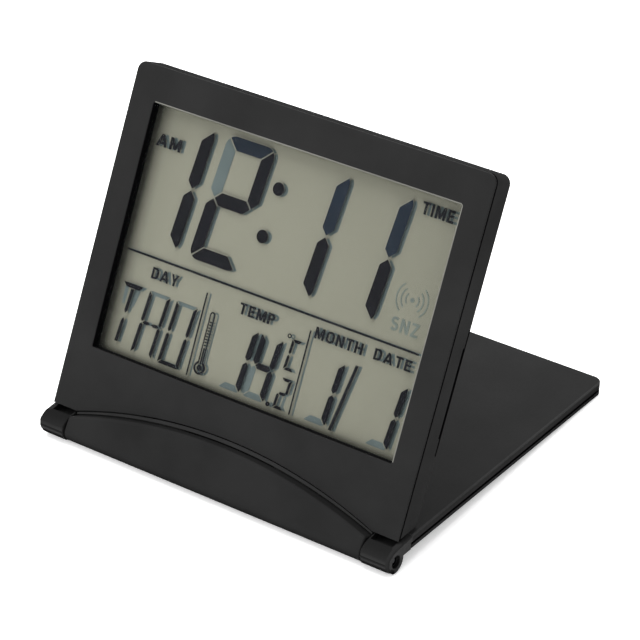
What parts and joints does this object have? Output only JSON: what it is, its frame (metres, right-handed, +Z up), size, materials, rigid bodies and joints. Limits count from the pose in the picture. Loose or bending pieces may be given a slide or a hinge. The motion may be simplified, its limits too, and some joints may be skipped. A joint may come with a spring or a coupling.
{
  "type": "folding travel alarm clock",
  "caption": "Flat black travel alarm clock with a wide liquid-crystal display, leaning back on its own hinged cover, which folds right round over the face.",
  "frame": {"origin": "bottom centre of the bounding box, on the table the clock stands on", "axes": "+Z up, the display faces -Y and leans back, +X to the right of someone who reads it"},
  "size_m": [0.0898, 0.0838, 0.0737],
  "materials": {
    "black_plastic": "satin black moulded ABS with a fine even texture",
    "dark_plastic": "matt black moulded ABS",
    "button_plastic": "matt dark grey moulded ABS, slightly dished",
    "clear_lens": "clear glossy acrylic",
    "polariser_film": "satin anti-glare film",
    "display_glass": "clear ground-edge glass",
    "display_reflector": "greenish-grey reflective display backing",
    "silicone_strip": "soft striped silicone",
    "board_green": "green solder mask with copper tracks",
    "black_epoxy": "glossy cast epoxy",
    "nickel_plate": "thin nickel plating",
    "ceramic": "fired ceramic",
    "brass_sheet": "rolled sheet brass",
    "cell_steel": "fine brushed stainless steel",
    "screw_steel": "zinc-plated steel"
  },
  "bodies": {
    "clock": {"rear_case": "black_plastic", "front_bezel": "black_plastic", "lens_window": "clear_lens", "lcd_front_polariser": "polariser_film", "lcd_front_glass": "display_glass", "lcd_rear_glass": "display_glass", "lcd_reflector": "display_reflector", "lcd_frame": "dark_plastic", "contact_strip": "silicone_strip", "circuit_board": "board_green", "chip_cap": "black_epoxy", "crystal": "nickel_plate", "temperature_sensor": "ceramic", "filter_capacitor": "ceramic", "buzzer_disc": "brass_sheet", "coin_cell": "cell_steel", "battery_contact_negative": "nickel_plate", "battery_contact_positive": "nickel_plate", "switch_dome_mode": "cell_steel", "switch_dome_set": "cell_steel", "switch_dome_up": "cell_steel", "switch_dome_snooze": "cell_steel", "case_screw_lower_left": "screw_steel", "case_screw_lower_right": "screw_steel", "case_screw_upper_left": "screw_steel", "case_screw_upper_right": "screw_steel", "hinge_pin_left": "screw_steel", "hinge_pin_right": "screw_steel"},
    "cover": {"cover_shell": "black_plastic", "cover_panel": "black_plastic"},
    "battery_door": {"battery_door": "dark_plastic"},
    "button_mode": {"button_mode": "button_plastic"},
    "button_set": {"button_set": "button_plastic"},
    "button_up": {"button_up": "button_plastic"},
    "button_snooze": {"button_snooze": "button_plastic"}
  },
  "joints": [
    {"name": "cover_hinge", "type": "hinge", "parent": "clock", "child": "cover", "pos_m": [0, -0.03908, 0.0028], "axis": [-1, 0, 0], "range_deg": [0, 294]},
    {"name": "battery_door_twist", "type": "hinge", "parent": "clock", "child": "battery_door", "pos_m": [0, -0.01972, 0.02781], "axis": [0, -0.8968, 0.4425], "range_deg": [0, 45]},
    {"name": "mode_press", "type": "slide", "parent": "clock", "child": "button_mode", "axis": [0, -0.8968, 0.4425], "range_m": [0, 0.0003], "stiffness_N_per_m": 800},
    {"name": "set_press", "type": "slide", "parent": "clock", "child": "button_set", "axis": [0, -0.8968, 0.4425], "range_m": [0, 0.0003], "stiffness_N_per_m": 800},
    {"name": "up_press", "type": "slide", "parent": "clock", "child": "button_up", "axis": [0, -0.8968, 0.4425], "range_m": [0, 0.0003], "stiffness_N_per_m": 800},
    {"name": "snooze_press", "type": "slide", "parent": "clock", "child": "button_snooze", "axis": [0, -0.8968, 0.4425], "range_m": [0, 0.0003], "stiffness_N_per_m": 800}
  ]
}
